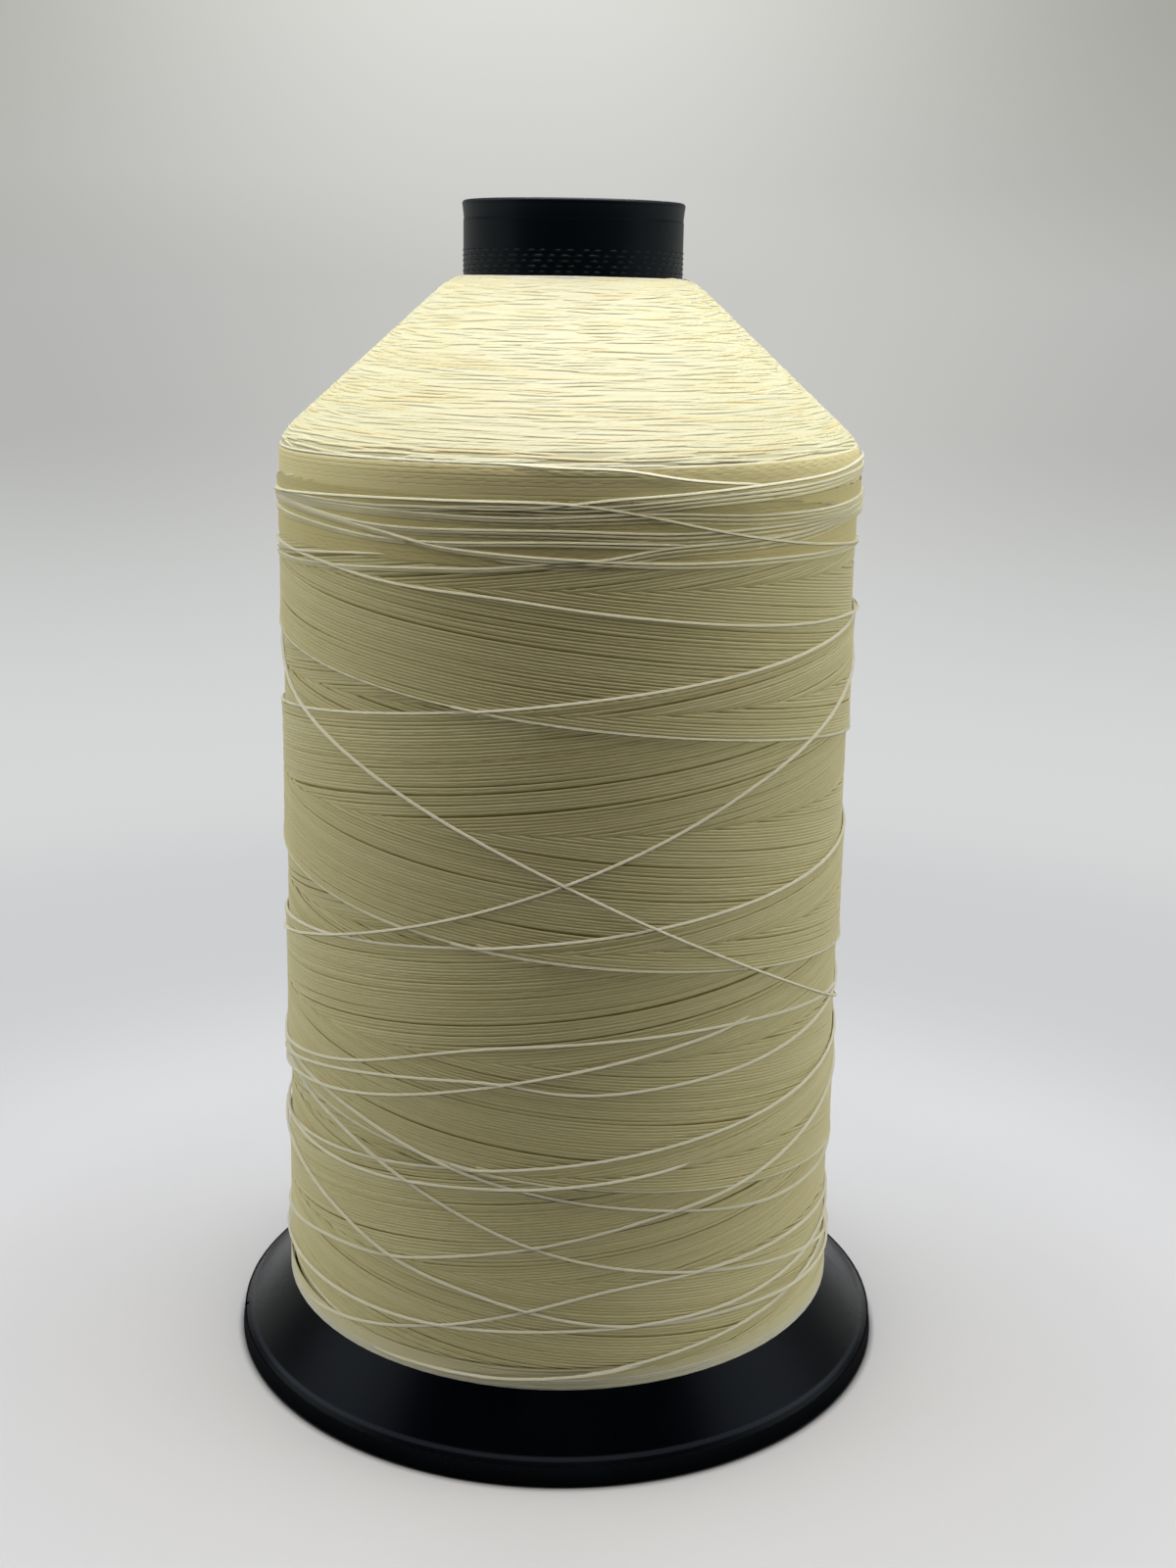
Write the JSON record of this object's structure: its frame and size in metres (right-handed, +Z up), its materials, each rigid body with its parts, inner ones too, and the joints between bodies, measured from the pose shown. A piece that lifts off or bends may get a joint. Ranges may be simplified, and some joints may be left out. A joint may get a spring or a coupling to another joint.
{
  "type": "thread spool",
  "caption": "Upright spool of sewing thread: wide conical foot, bored tube and a crosswound package with a conical shoulder.",
  "frame": {"origin": "centre of the foot's rim, on the surface that the spool stands on", "axes": "+Z up along the axis of the tube; +Y points away from the front"},
  "size_m": [0.1044, 0.1044, 0.178],
  "materials": {
    "foot_plastic": "satin moulded",
    "tube_plastic": "satin moulded",
    "thread": "bonded filament thread, soft sheen"
  },
  "bodies": {
    "root": {"base_flange": "foot_plastic", "barrel": "tube_plastic", "thread_core": "thread", "thread_winding": "thread"}
  },
  "joints": []
}
